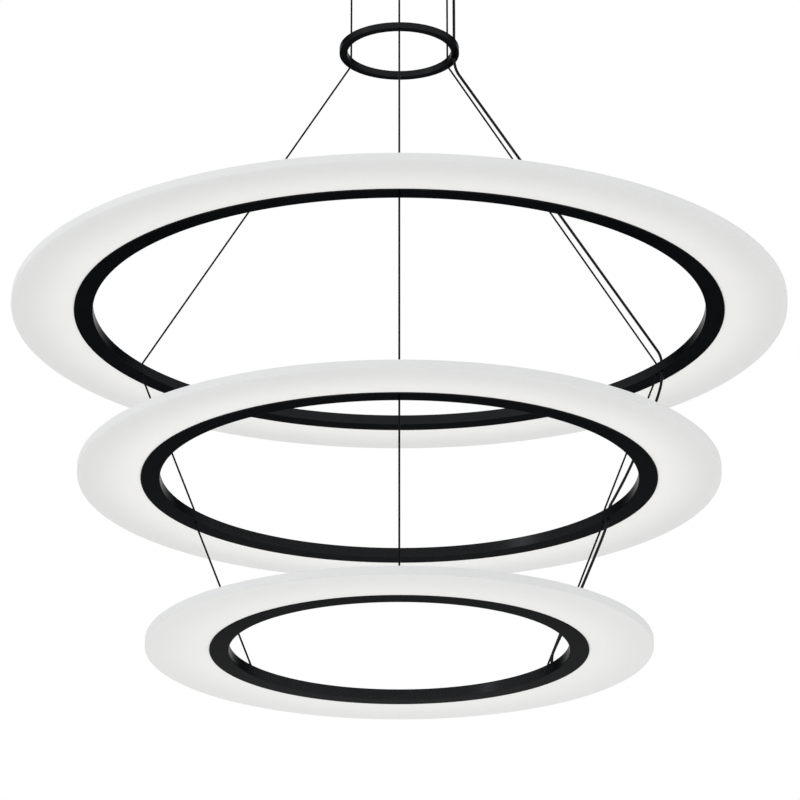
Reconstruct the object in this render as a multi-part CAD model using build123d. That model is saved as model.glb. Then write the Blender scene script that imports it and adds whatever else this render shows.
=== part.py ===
"""Three-tier ring chandelier: three flat lit rings hung one below the other on three steel cables.

Millimetres, +Z up. The origin is the centre of the ceiling plate's upper face, so everything hangs below z = 0.
"""

import os
from math import cos, degrees, pi, radians, sin, tan

from build123d import *

# ---- tiers: the top tier is the widest, each one below is a step smaller
TOP_TIER_OUTER_R = 483.6  # about 38 in across
TIER_STEP = 88.0
TIER_SPACING = 216.6  # underside to underside
DISC_WIDTH = 77.9  # white annulus outside the black hoop
HOOP_WIDTH = 23.4
TIER_HEIGHT = 13.2
DISC_RAISE = 1.4  # of the disc's underside above the hoop's
DISC_DROP = 1.0  # of the disc's top below the hoop's
TIER_NAMES = ("top", "middle", "bottom")

# ---- hanging heights
SPREADER_TO_TOP_TIER = 366.9  # underside to underside
CANOPY_TO_SPREADER = 141.3  # underside to underside

# ---- cables and power cord
CABLE_D = 2.4
CORD_D = 3.6
CABLE_ANGLES = (-90, 30, 150)
FEED_ANGLE = 30  # the cable that the power cord runs beside
CABLE_INSET = 5.0  # from the hoop's inner wall to the cable
CORD_BESIDE_CABLE = 11.0  # measured along the hoop
SPREADER_CORD_ANGLE = 10.5
EDGE_BEND_R = 3.0  # how tightly a taut cable turns at a hole's rounded mouth
CABLE_SPLIT_DEPTH = 1.0  # how far inside a hole's mouth two stretches meet
CORD_SPLIT_HEIGHT = 4.5  # above a tier's underside, inside its wire tap

# Cord routes between two mouths, as (share of the way across, share of the way down).
CONE_ROUTE = ((0.0, 0.038), (1.0, 0.9896))
MIDDLE_ROUTE = ((0.0, 0.056), (0.080, 0.170), (0.307, 0.416), (0.602, 0.695), (0.875, 0.907), (1.0, 0.992))
LOWER_ROUTE = ((0.0, 0.007), (0.102, 0.121), (0.466, 0.468), (0.824, 0.794), (0.960, 0.912), (1.0, 0.971))

# ---- spreader ring
SPREADER_OUTER_R = 76.9
SPREADER_INNER_R = 66.7
SPREADER_HEIGHT = 8.3
SPREADER_ROUND = 0.5

# ---- hoop channel and lid, measured outwards from the hoop's inner wall
HOOP_WALL = 2.0
HOOP_FLOOR = 1.8
RIB_START = 12.2
RIB_WALL = 1.4
LEDGE_WIDTH = 1.0
LEDGE_HEIGHT = 1.0
LID_THICKNESS = 1.6
LID_GAP = 0.2
EDGE_ROUND = 0.6

# ---- lit disc
FLANGE_START = 18.2  # inner edge of the tray's and the cover's flanges, from the hoop's inner wall
DISC_GAP = 0.2
TRAY_FLOOR = 2.2
TRAY_RISER = 2.2
TRAY_RIM = 2.4
TRAY_LOWER_ROUND = 1.4
TRAY_UPPER_ROUND = 1.2
SEAT_WIDTH = 2.0
GUIDE_THICKNESS = 4.0
GUIDE_RAISE = 0.5  # of its middle above the tier's middle
GUIDE_INNER_GAP = 0.4  # to the lamps
GUIDE_OUTER_GAP = 0.6
COVER_THICKNESS = 2.0
COVER_GAP = 0.3
FLANGE_PLAY = 0.1

# ---- lamp strip
STRIP_GAP = 0.15
STRIP_THICKNESS = 0.6
STRIP_CLEARANCE = 0.6  # to the hoop's floor and to the lid
LED_SIZE = 2.8
LED_THICKNESS = 1.0
LED_PITCH = 25.0

# ---- anchors, screws and wire tap in the hoop
ANCHOR_LENGTH = 14.0
BLOCK_GAP = 0.25  # to the channel's walls
HOLE_CLEARANCE = 0.4  # round a cable or cord
MOUTH_FLARE = 0.9
GRUB_R = 1.5
GRUB_RECESS = 0.4
GRUB_TOUCH = 0.02
THREAD_PLAY = 0.03
SCREW_PLAY = 0.15
GRUB_SOCKET_AF = 1.5
GRUB_SOCKET_DEPTH = 1.4
LID_SCREW_R = 1.25
LID_SCREW_HEAD_R = 2.25
LID_SCREW_HEAD = 1.2
LID_SCREW_LENGTH = 6.0
LID_SCREW_OFFSET = 4.5  # along the hoop, each side of the cable
LID_SCREW_INSET = 8.6
TAP_LENGTH = 16.0
TAP_HEADROOM = 1.2
TAP_START = 8.0  # from the feed cable, along the hoop
TAP_PLAY = 0.15

# ---- cable end fittings in the bottom hoop
END_SLEEVE_WALL = 0.3
END_SLEEVE_GAP = 0.2  # below the locking screw

# ---- canopy and ceiling plate
CANOPY_R = 105.0
CANOPY_DEPTH = 55.0
CANOPY_WALL = 1.5
CANOPY_FLOOR = 2.0
CANOPY_ROUND = 4.0
PLATE_MARGIN = 5.5  # from its edge to the canopy's wall
PLATE_THICKNESS = 2.0
TAB_ANGLES = (90, 210, 330)
TAB_WIDTH = 20.0
TAB_DEPTH = 16.0
TAB_GAP = 0.3
TAB_SCREW_DEPTH = 9.0
CANOPY_SCREW_R = 1.95
CANOPY_SCREW_LENGTH = 6.0
CANOPY_SCREW_HEAD_R = 4.0
CANOPY_SCREW_HEAD = 2.6
WIRE_HOLE_R = 12.0
BOX_SLOT_SPACING = 88.9  # 3.5 in ceiling box
BOX_SLOT_WIDTH = 5.0
BOX_SLOT_LENGTH = 12.0

# ---- cable grippers
GRIPPER_STEM_R = 5.0
GRIPPER_STEM = 12.0
GRIPPER_BODY_R = 6.5
GRIPPER_BODY = 20.0
GRIPPER_END_WALL = 2.0
GRIPPER_BORE_PLAY = 0.6
SPRING_CAVITY_R = 4.2
PLUNGER_NECK_R = 2.7
PLUNGER_FLANGE_R = 3.9
PLUNGER_FLANGE = 2.0
PLUNGER_BORE_PLAY = 0.3
PLUNGER_REACH = 7.0  # below the gripper's body
SLIDE_PLAY = 0.05
SPRING_OUTER_R = 3.6
SPRING_WALL = 1.4
NUT_AF = 16.0
NUT_HEIGHT = 5.0
CABLE_TAIL = 17.0  # of cable above the canopy's underside

# ---- cord gland
GLAND_STEM_R = 6.0
GLAND_STEM = 10.0
GLAND_BODY_R = 8.0
GLAND_BODY = 8.0
GLAND_TAPER = 18.0
GLAND_TIP_WALL = 1.05
GLAND_PLAY = 0.05
GLAND_NUT_AF = 17.0
GLAND_NUT_HEIGHT = 4.0

# ---- driver, terminal block and leads
DRIVER_SIZE = (130.0, 38.0, 24.0)
DRIVER_INSET = 73.0  # from the canopy's side to its centre line
DRIVER_ROUND = 2.0
EAR_LENGTH = 9.0
EAR_THICKNESS = 2.0
DRIVER_SCREW_R = 1.7
DRIVER_SCREW_HEAD_R = 3.2
DRIVER_SCREW_HEAD = 2.0
DRIVER_PORT_X = 30.0
DRIVER_PORT_DROP = 12.0  # below the plate
TERMINAL_SIZE = (36.0, 17.0, 14.0)
TERMINAL_Y = 45.5
TERMINAL_PITCH = 12.0
TERMINAL_HOLE_R = 1.8
TERMINAL_WALL = 0.8
TERMINAL_DROP = 7.0  # of the wire holes below the plate
EARTH_SCREW_AT = (-35.0, 55.0)
EARTH_SCREW_R = 2.0
EARTH_HEAD_R = 4.0
EARTH_HEAD = 2.5
LEAD_D = 3.0

ON_BASE = (Align.CENTER, Align.CENTER, Align.MIN)
SPREADER_Z = -CANOPY_DEPTH - CANOPY_TO_SPREADER
LID_Z = TIER_HEIGHT - LID_THICKNESS
DISC_TOP = TIER_HEIGHT - DISC_DROP
GUIDE_Z = (TIER_HEIGHT - GUIDE_THICKNESS) / 2 + GUIDE_RAISE
PLATE_R = CANOPY_R - CANOPY_WALL - PLATE_MARGIN
DRIVER_Y = DRIVER_INSET - CANOPY_R
HANG_R = (SPREADER_OUTER_R + SPREADER_INNER_R) / 2
CABLE_HOLE_R = CABLE_D / 2 + HOLE_CLEARANCE
CORD_HOLE_R = CORD_D / 2 + HOLE_CLEARANCE
GUIDE_TOP = GUIDE_Z + GUIDE_THICKNESS
END_SLEEVE_R = CABLE_D / 2 + END_SLEEVE_WALL


# ---- helpers
def outer_r(tier):
    return TOP_TIER_OUTER_R - tier * TIER_STEP


def inner_r(tier):
    return outer_r(tier) - DISC_WIDTH - HOOP_WIDTH


def base_z(tier):
    return SPREADER_Z - SPREADER_TO_TOP_TIER - tier * TIER_SPACING


def cable_r(tier):
    return inner_r(tier) + CABLE_INSET


def polar(r, angle, z=0.0):
    return Vector(r * cos(radians(angle)), r * sin(radians(angle)), z)


def along_hoop(tier, distance):
    """Angle of a point that far clockwise of the feed cable, measured along the circle of the cables."""
    return FEED_ANGLE - degrees(distance / cable_r(tier))


def rod(radius, z0, z1, x=0.0, y=0.0):
    return Pos(x, y, min(z0, z1)) * Cylinder(radius, abs(z1 - z0), align=ON_BASE)


def cone(r0, r1, z0, z1, x=0.0, y=0.0):
    """A cone of radius r0 at z0 and r1 at z1, with z1 above z0."""
    return Pos(x, y, z0) * Cone(r0, r1, z1 - z0, align=ON_BASE)


def radial_rod(radius, r0, r1, angle, z):
    """A rod that points away from the axis, from r0 to r1."""
    along_x = Rot(0, 90, 0) * Cylinder(radius, r1 - r0, align=ON_BASE)
    return Rot(0, 0, angle) * Pos(r0, 0, z) * along_x


def radial_hex(across_flats, r0, r1, angle, z):
    hexagon = RegularPolygon(radius=across_flats / 2, side_count=6, major_radius=False)
    return Rot(0, 0, angle) * Pos(r0, 0, z) * Rot(0, 90, 0) * extrude(hexagon, r1 - r0)


def hex_prism(across_flats, z0, z1, x, y):
    hexagon = RegularPolygon(radius=across_flats / 2, side_count=6, major_radius=False)
    return Pos(x, y, z0) * extrude(hexagon, z1 - z0)


def block(size, x, y, z0):
    return Pos(x, y, z0) * Box(*size, align=ON_BASE)


def turned(profile, rounds=None):
    """A ring turned from (radius, height) points. rounds gives corner numbers their radius."""
    rounds = rounds or {}
    points = [(r, 0, z) for r, z in profile]
    radii = [rounds.get(corner, 0) for corner in range(len(points))]
    outline = FilletPolyline(*points, radius=radii, close=True)
    return revolve(make_face(outline), axis=Axis.Z)


def corner_radii(points, bend_r=None):
    """The arc at each corner of a route: as wide as its two runs allow, or bend_r round a hole's mouth."""
    radii = []
    for before, corner, after in zip(points, points[1:], points[2:]):
        arriving, leaving = corner - before, after - corner
        half_turn = radians(arriving.get_angle(leaving)) / 2
        widest = 0.45 * min(arriving.length, leaving.length) / tan(half_turn)
        radii.append(min(widest, bend_r) if bend_r else widest)
    return radii


def tube_along(points, diameter, name, bend_r=None):
    radii = corner_radii(points, bend_r)
    path = FilletPolyline(*points, radius=radii) if radii else Line(*points)
    section = Plane(origin=path @ 0, z_dir=path % 0) * Circle(diameter / 2)
    tube = sweep(section, path=path)
    expected = pi * diameter**2 / 4 * path.length
    shown = ", ".join(f"{radius:.1f}" for radius in radii)
    share = tube.volume / expected
    print(f"{name}: length {path.length:.1f}, radii [{shown}], volume {share:.4f} of section x length")
    return tube


def flared_hole(radius, z0, z1, flare_z, x, y):
    """A hole from z0 to z1 whose mouth at flare_z, one of the two, opens out."""
    hole = rod(radius, z0, z1, x, y)
    wide = radius + MOUTH_FLARE
    if flare_z == max(z0, z1):
        return hole + cone(radius, wide, flare_z - MOUTH_FLARE, flare_z, x, y)
    return hole + cone(wide, radius, flare_z, flare_z + MOUTH_FLARE, x, y)


def save(name, *solids):
    shape = solids[0] if len(solids) == 1 else Compound(solids)
    export_step(shape, f"parts/{name}.step")


# ---- ceiling end
def canopy_screw_parts():
    """The three side screws, and the holes they need in the canopy and in the plate's tabs."""
    screws, canopy_holes, tab_holes = [], [], []
    for angle in TAB_ANGLES:
        shank = radial_rod(CANOPY_SCREW_R, CANOPY_R - CANOPY_SCREW_LENGTH, CANOPY_R, angle, -TAB_SCREW_DEPTH)
        head_end = CANOPY_R + CANOPY_SCREW_HEAD
        head = radial_rod(CANOPY_SCREW_HEAD_R, CANOPY_R, head_end, angle, -TAB_SCREW_DEPTH)
        head = chamfer(head.edges().filter_by(GeomType.CIRCLE), 0.4)
        socket = radial_hex(CANOPY_SCREW_R * 1.3, CANOPY_R + 1.0, head_end + 1.0, angle, -TAB_SCREW_DEPTH)
        screws.append(shank + head - socket)
        reach = (CANOPY_R - 2 * CANOPY_SCREW_LENGTH, CANOPY_R + 1.0)
        canopy_holes.append(radial_rod(CANOPY_SCREW_R + SCREW_PLAY * 2, *reach, angle, -TAB_SCREW_DEPTH))
        tab_holes.append(radial_rod(CANOPY_SCREW_R + THREAD_PLAY, *reach, angle, -TAB_SCREW_DEPTH))
    return screws, canopy_holes, tab_holes


def make_ceiling_plate(tab_holes):
    tab_outer_r = CANOPY_R - CANOPY_WALL - TAB_GAP
    plate = rod(PLATE_R, -PLATE_THICKNESS, 0)
    for angle in TAB_ANGLES:
        slice_of_plate = Rot(0, 0, angle) * block((PLATE_R, TAB_WIDTH, TAB_DEPTH), CANOPY_R * 0.6, 0, -TAB_DEPTH)
        top = rod(tab_outer_r, -PLATE_THICKNESS, 0)
        rim = rod(tab_outer_r, -TAB_DEPTH, 0) - rod(tab_outer_r - PLATE_THICKNESS, -TAB_DEPTH, 0)
        plate += (top + rim) & slice_of_plate
    plate -= rod(WIRE_HOLE_R, -PLATE_THICKNESS, 0)
    for side in (-1, 1):
        slot = extrude(SlotOverall(BOX_SLOT_LENGTH, BOX_SLOT_WIDTH), PLATE_THICKNESS)
        plate -= Pos(side * BOX_SLOT_SPACING / 2, 0, -PLATE_THICKNESS) * slot
        plate -= rod(DRIVER_SCREW_R + THREAD_PLAY, -PLATE_THICKNESS, 0, side * driver_screw_x(), DRIVER_Y)
    plate -= rod(EARTH_SCREW_R + THREAD_PLAY, -PLATE_THICKNESS, 0, *EARTH_SCREW_AT)
    for hole in tab_holes:
        plate -= hole
    return plate


def make_canopy(canopy_holes):
    inside_r = CANOPY_R - CANOPY_WALL
    inside_z = -CANOPY_DEPTH + CANOPY_FLOOR
    profile = [(0, -CANOPY_DEPTH), (CANOPY_R, -CANOPY_DEPTH), (CANOPY_R, 0)]
    profile += [(inside_r, 0), (inside_r, inside_z), (0, inside_z)]
    shell = turned(profile, {1: CANOPY_ROUND, 4: CANOPY_ROUND - CANOPY_WALL})
    for angle in CABLE_ANGLES:
        x, y, _ = polar(HANG_R, angle)
        shell -= rod(GRIPPER_STEM_R + SCREW_PLAY, -CANOPY_DEPTH, inside_z, x, y)
    x, y, _ = polar(HANG_R, SPREADER_CORD_ANGLE)
    shell -= rod(GLAND_STEM_R + SCREW_PLAY, -CANOPY_DEPTH, inside_z, x, y)
    for hole in canopy_holes:
        shell -= hole
    return shell


def make_gripper(angle):
    """Barrel, nut, release plunger and spring of one cable gripper."""
    x, y, _ = polar(HANG_R, angle)
    place = Pos(x, y, 0)
    under = -CANOPY_DEPTH
    stem_top, body_end = under + GRIPPER_STEM, under - GRIPPER_BODY
    cavity_top, cavity_end = under - GRIPPER_END_WALL, body_end + GRIPPER_END_WALL
    bore_r = CABLE_D / 2 + GRIPPER_BORE_PLAY
    barrel = turned(
        [
            (bore_r, stem_top),
            (GRIPPER_STEM_R, stem_top),
            (GRIPPER_STEM_R, under),
            (GRIPPER_BODY_R, under),
            (GRIPPER_BODY_R, body_end),
            (PLUNGER_NECK_R + SLIDE_PLAY, body_end),
            (PLUNGER_NECK_R + SLIDE_PLAY, cavity_end),
            (SPRING_CAVITY_R, cavity_end),
            (SPRING_CAVITY_R, cavity_top),
            (bore_r, cavity_top),
        ],
        {1: 0.5, 4: 1.0},
    )
    flange_bottom = cavity_end + SLIDE_PLAY
    flange_top = flange_bottom + PLUNGER_FLANGE
    plunger_end = body_end - PLUNGER_REACH
    plunger_bore_r = CABLE_D / 2 + PLUNGER_BORE_PLAY
    plunger = turned(
        [
            (plunger_bore_r, flange_top),
            (PLUNGER_FLANGE_R, flange_top),
            (PLUNGER_FLANGE_R, flange_bottom),
            (PLUNGER_NECK_R, flange_bottom),
            (PLUNGER_NECK_R, plunger_end),
            (plunger_bore_r, plunger_end),
        ],
        {4: 0.6},
    )
    spring = rod(SPRING_OUTER_R, flange_top + SLIDE_PLAY, cavity_top)
    spring -= rod(SPRING_OUTER_R - SPRING_WALL, flange_top + SLIDE_PLAY, cavity_top)
    nut_z = under + CANOPY_FLOOR
    nut = hex_prism(NUT_AF, nut_z, nut_z + NUT_HEIGHT, 0, 0)
    nut -= rod(GRIPPER_STEM_R + THREAD_PLAY, nut_z, nut_z + NUT_HEIGHT)
    return [place * piece for piece in (barrel, nut, plunger, spring)]


def make_gland():
    x, y, _ = polar(HANG_R, SPREADER_CORD_ANGLE)
    under = -CANOPY_DEPTH
    bore_r = CORD_D / 2 + GLAND_PLAY
    body_end = under - GLAND_BODY
    gland = turned(
        [
            (bore_r, under + GLAND_STEM),
            (GLAND_STEM_R, under + GLAND_STEM),
            (GLAND_STEM_R, under),
            (GLAND_BODY_R, under),
            (GLAND_BODY_R, body_end),
            (GLAND_STEM_R, body_end - 1.0),
            (bore_r + GLAND_TIP_WALL, body_end - GLAND_TAPER),
            (bore_r, body_end - GLAND_TAPER),
        ],
        {4: 1.0, 6: 0.4},
    )
    nut_z = under + CANOPY_FLOOR
    nut = hex_prism(GLAND_NUT_AF, nut_z, nut_z + GLAND_NUT_HEIGHT, 0, 0)
    nut -= rod(GLAND_STEM_R + THREAD_PLAY, nut_z, nut_z + GLAND_NUT_HEIGHT)
    return [Pos(x, y, 0) * piece for piece in (gland, nut)]


def driver_screw_x():
    return DRIVER_SIZE[0] / 2 + EAR_LENGTH / 2


def make_driver():
    """The power supply's case with its two ears, and the screws through the ears."""
    length, width, height = DRIVER_SIZE
    case = block(DRIVER_SIZE, 0, DRIVER_Y, -PLATE_THICKNESS - height)
    case = fillet(case.edges().filter_by(Axis.Z), DRIVER_ROUND)
    ear_size = (length + 2 * EAR_LENGTH, width / 2, EAR_THICKNESS)
    case += block(ear_size, 0, DRIVER_Y, -PLATE_THICKNESS - EAR_THICKNESS)
    ear_z = -PLATE_THICKNESS - EAR_THICKNESS
    screws = []
    for side in (-1, 1):
        x = side * driver_screw_x()
        case -= rod(DRIVER_SCREW_R + SCREW_PLAY, ear_z, -PLATE_THICKNESS, x, DRIVER_Y)
        head = rod(DRIVER_SCREW_HEAD_R, ear_z - DRIVER_SCREW_HEAD, ear_z, x, DRIVER_Y)
        socket = hex_prism(DRIVER_SCREW_R, ear_z - DRIVER_SCREW_HEAD, ear_z - 0.8, x, DRIVER_Y)
        screws.append(head + rod(DRIVER_SCREW_R, ear_z, -SCREW_PLAY, x, DRIVER_Y) - socket)
    return case, screws


def make_terminal_block():
    length, width, height = TERMINAL_SIZE
    body = block(TERMINAL_SIZE, 0, TERMINAL_Y, -PLATE_THICKNESS - height)
    wire_z = -PLATE_THICKNESS - TERMINAL_DROP
    for place in (-1, 0, 1):
        x = place * TERMINAL_PITCH
        along_y = Rot(90, 0, 0) * Cylinder(TERMINAL_HOLE_R, width / 2 - 2.0)
        for side in (-1, 1):
            body -= Pos(x, TERMINAL_Y + side * (width / 4 + 1.0), wire_z) * along_y
        well_top = wire_z - TERMINAL_HOLE_R - TERMINAL_WALL
        body -= rod(TERMINAL_HOLE_R, -PLATE_THICKNESS - height, well_top, x, TERMINAL_Y)
    return body


def make_earth_screw():
    x, y = EARTH_SCREW_AT
    under = -PLATE_THICKNESS
    screw = rod(EARTH_HEAD_R, under - EARTH_HEAD, under, x, y) + rod(EARTH_SCREW_R, under, -SCREW_PLAY, x, y)
    slot = block((2 * EARTH_HEAD_R, 1.0, 1.2), x, y, under - EARTH_HEAD)
    return screw - slot


def make_driver_leads():
    """Mains lead from the terminal block, and the output lead that carries on as the power cord."""
    driver_face = DRIVER_Y + DRIVER_SIZE[1] / 2
    port_z = -PLATE_THICKNESS - DRIVER_PORT_DROP
    wire_z = -PLATE_THICKNESS - TERMINAL_DROP
    terminal_face = TERMINAL_Y - TERMINAL_SIZE[1] / 2
    mains = [
        Vector(-TERMINAL_PITCH, terminal_face, wire_z),
        Vector(-TERMINAL_PITCH, terminal_face - 16.0, wire_z - 2.0),
        Vector(-DRIVER_PORT_X, driver_face + 15.0, port_z),
        Vector(-DRIVER_PORT_X, driver_face, port_z),
    ]
    x, y, _ = polar(HANG_R, SPREADER_CORD_ANGLE)
    output = [
        Vector(DRIVER_PORT_X, driver_face, port_z),
        Vector(DRIVER_PORT_X, driver_face + 16.0, port_z),
        Vector(DRIVER_PORT_X + 13.0, y, port_z),
        Vector(x - 12.0, y, port_z),
        Vector(x, y, port_z - 14.0),
        Vector(x, y, -CANOPY_DEPTH + GLAND_STEM),
    ]
    return tube_along(mains, LEAD_D, "mains lead"), tube_along(output, CORD_D, "output lead")


# ---- suspension
def make_spreader():
    """The small ring, and the locking screws that hold it to the cables."""
    top = SPREADER_Z + SPREADER_HEIGHT
    ring = turned(
        [
            (SPREADER_INNER_R, SPREADER_Z),
            (SPREADER_OUTER_R, SPREADER_Z),
            (SPREADER_OUTER_R, top),
            (SPREADER_INNER_R, top),
        ],
        {corner: SPREADER_ROUND for corner in range(4)},
    )
    middle_z = SPREADER_Z + SPREADER_HEIGHT / 2
    screws = []
    for angle in CABLE_ANGLES:
        x, y, _ = polar(HANG_R, angle)
        ring -= flared_hole(CABLE_HOLE_R, SPREADER_Z, top, SPREADER_Z, x, y)
        ring -= radial_rod(GRUB_R + THREAD_PLAY, HANG_R, SPREADER_OUTER_R + 1.0, angle, middle_z)
        tip, end = HANG_R + CABLE_D / 2 + GRUB_TOUCH, SPREADER_OUTER_R - GRUB_RECESS
        screw = radial_rod(GRUB_R, tip, end, angle, middle_z)
        screws.append(screw - radial_hex(GRUB_SOCKET_AF, end - GRUB_SOCKET_DEPTH, end, angle, middle_z))
    x, y, _ = polar(HANG_R, SPREADER_CORD_ANGLE)
    ring -= flared_hole(CORD_HOLE_R, SPREADER_Z, top, SPREADER_Z, x, y)
    return ring, screws


def split_z(tier):
    """Where a cable stretch that reaches a tier ends, just inside its lid."""
    return base_z(tier) + TIER_HEIGHT - CABLE_SPLIT_DEPTH


SPREADER_SPLIT_Z = SPREADER_Z + 2 * CABLE_SPLIT_DEPTH


def make_upper_cables():
    cables = []
    for angle in CABLE_ANGLES:
        x, y, _ = polar(HANG_R, angle)
        cables.append(rod(CABLE_D / 2, SPREADER_SPLIT_Z, -CANOPY_DEPTH + CABLE_TAIL, x, y))
    return cables


def make_cone_cables():
    mouth = TIER_HEIGHT + EDGE_BEND_R / 6
    cables = []
    for angle in CABLE_ANGLES:
        points = [
            polar(HANG_R, angle, SPREADER_SPLIT_Z),
            polar(HANG_R, angle, SPREADER_Z + EDGE_BEND_R / 6),
            polar(cable_r(0), angle, base_z(0) + mouth),
            polar(cable_r(0), angle, split_z(0)),
        ]
        cables.append(tube_along(points, CABLE_D, f"cone cable {angle}", EDGE_BEND_R))
    return cables


def make_tier_cables(upper):
    """The three stretches from inside one tier's lid, through the tier, to just inside the next lid."""
    lower = upper + 1
    cables = []
    for angle in CABLE_ANGLES:
        points = [
            polar(cable_r(upper), angle, split_z(upper)),
            polar(cable_r(upper), angle, base_z(upper) + EDGE_BEND_R / 10),
            polar(cable_r(lower), angle, base_z(lower) + TIER_HEIGHT + EDGE_BEND_R / 10),
            polar(cable_r(lower), angle, split_z(lower)),
        ]
        cables.append(tube_along(points, CABLE_D, f"{TIER_NAMES[upper]} cable {angle}", EDGE_BEND_R))
    return cables


def make_cable_ends():
    """Short ends in the bottom hoop, each with a crimped sleeve that bears on the hoop's floor."""
    base = base_z(len(TIER_NAMES) - 1)
    floor = base + HOOP_FLOOR
    sleeve_top = base + TIER_HEIGHT / 2 - GRUB_R - END_SLEEVE_GAP
    ends = []
    for angle in CABLE_ANGLES:
        x, y, _ = polar(cable_r(len(TIER_NAMES) - 1), angle)
        end = rod(CABLE_D / 2, floor, split_z(len(TIER_NAMES) - 1), x, y)
        ends.append(end + rod(END_SLEEVE_R, floor, sleeve_top, x, y))
    return ends


def cord_point(tier):
    return polar(cable_r(tier), along_hoop(tier, CORD_BESIDE_CABLE))


def cord_between(start, end, top_z, bottom_z, mouth_top_z, mouth_bottom_z, route, name):
    """A cord stretch that goes straight down into both mouths and follows route between them."""
    points = [Vector(start.X, start.Y, top_z)]
    for across, down in route:
        flat = start + (end - start) * across
        points.append(Vector(flat.X, flat.Y, mouth_top_z + (mouth_bottom_z - mouth_top_z) * down))
    points.append(Vector(end.X, end.Y, bottom_z))
    return tube_along(points, CORD_D, name)


def make_cords():
    """The power cord, from the gland to the bottom tier's wire tap, in four stretches."""
    spreader_hole = polar(HANG_R, SPREADER_CORD_ANGLE)
    x, y, _ = spreader_hole
    cords = {"upper_cord": rod(CORD_D / 2, SPREADER_SPLIT_Z, -CANOPY_DEPTH + GLAND_STEM, x, y)}
    ends = (spreader_hole, cord_point(0), cord_point(1), cord_point(2))
    splits = [SPREADER_SPLIT_Z] + [base_z(tier) + CORD_SPLIT_HEIGHT for tier in range(3)]
    starts = [SPREADER_Z, base_z(0), base_z(1)]
    routes = (("cone_cord", CONE_ROUTE), ("middle_cord", MIDDLE_ROUTE), ("lower_cord", LOWER_ROUTE))
    for number, (name, route) in enumerate(routes):
        lid_top = base_z(number) + TIER_HEIGHT
        here, there = ends[number], ends[number + 1]
        cords[name] = cord_between(
            here, there, splits[number], splits[number + 1], starts[number], lid_top, route, name
        )
    return cords


# ---- one tier, made with its underside at z = 0
def lid_screw_places(tier):
    """(x, y) of the two lid screws in each anchor."""
    for angle in CABLE_ANGLES:
        for side in (-1, 1):
            point = Rot(0, 0, angle) * Pos(inner_r(tier) + LID_SCREW_INSET, side * LID_SCREW_OFFSET, 0)
            yield point.position.X, point.position.Y


def make_hoop(tier):
    inner = inner_r(tier)
    last = tier == len(TIER_NAMES) - 1
    rib, wall = inner + RIB_START, inner + HOOP_WALL
    hoop = turned(
        [
            (inner, 0),
            (inner + HOOP_WIDTH, 0),
            (inner + HOOP_WIDTH, HOOP_FLOOR),
            (rib + RIB_WALL, HOOP_FLOOR),
            (rib + RIB_WALL, LID_Z),
            (rib, LID_Z),
            (rib, HOOP_FLOOR),
            (wall, HOOP_FLOOR),
            (wall, LID_Z - LEDGE_HEIGHT),
            (wall + LEDGE_WIDTH, LID_Z - LEDGE_HEIGHT),
            (wall + LEDGE_WIDTH, LID_Z),
            (wall, LID_Z),
            (wall, TIER_HEIGHT),
            (inner, TIER_HEIGHT),
        ],
        {0: EDGE_ROUND, 1: EDGE_ROUND / 2, 13: EDGE_ROUND},
    )
    for angle in CABLE_ANGLES:
        x, y, _ = polar(cable_r(tier), angle)
        hoop -= radial_rod(GRUB_R + SCREW_PLAY, inner - 1.0, wall + LEDGE_WIDTH + 0.1, angle, TIER_HEIGHT / 2)
        if not last:
            hoop -= flared_hole(CABLE_HOLE_R, 0, HOOP_FLOOR, 0, x, y)
        ledge_cut = (2 * LEDGE_WIDTH + 0.4, ANCHOR_LENGTH + 2 * BLOCK_GAP, LEDGE_HEIGHT)
        hoop -= Rot(0, 0, angle) * block(ledge_cut, wall + LEDGE_WIDTH + 0.2, 0, LID_Z - LEDGE_HEIGHT)
    if not last:
        x, y, _ = cord_point(tier)
        hoop -= flared_hole(CORD_HOLE_R, 0, HOOP_FLOOR, 0, x, y)
    return hoop


def make_lid(tier):
    inner = inner_r(tier)
    start, end = inner + HOOP_WALL + LID_GAP, inner + HOOP_WIDTH
    lid = turned([(start, LID_Z), (end, LID_Z), (end, TIER_HEIGHT), (start, TIER_HEIGHT)], {2: EDGE_ROUND})
    for angle in CABLE_ANGLES:
        x, y, _ = polar(cable_r(tier), angle)
        lid -= flared_hole(CABLE_HOLE_R, LID_Z, TIER_HEIGHT, TIER_HEIGHT, x, y)
    x, y, _ = cord_point(tier)
    lid -= flared_hole(CORD_HOLE_R, LID_Z, TIER_HEIGHT, TIER_HEIGHT, x, y)
    sink = TIER_HEIGHT - LID_SCREW_HEAD
    for x, y in lid_screw_places(tier):
        lid -= rod(LID_SCREW_R + SCREW_PLAY, LID_Z, TIER_HEIGHT, x, y)
        lid -= cone(LID_SCREW_R + SCREW_PLAY, LID_SCREW_HEAD_R + SCREW_PLAY, sink, TIER_HEIGHT, x, y)
    return lid


def make_lid_screws(tier):
    screws = []
    sink = TIER_HEIGHT - LID_SCREW_HEAD
    for x, y in lid_screw_places(tier):
        screw = rod(LID_SCREW_R, TIER_HEIGHT - LID_SCREW_LENGTH, sink, x, y)
        screw += cone(LID_SCREW_R, LID_SCREW_HEAD_R, sink, TIER_HEIGHT, x, y)
        screws.append(screw - hex_prism(GRUB_SOCKET_AF, TIER_HEIGHT - 0.8, TIER_HEIGHT, x, y))
    return screws


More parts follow.
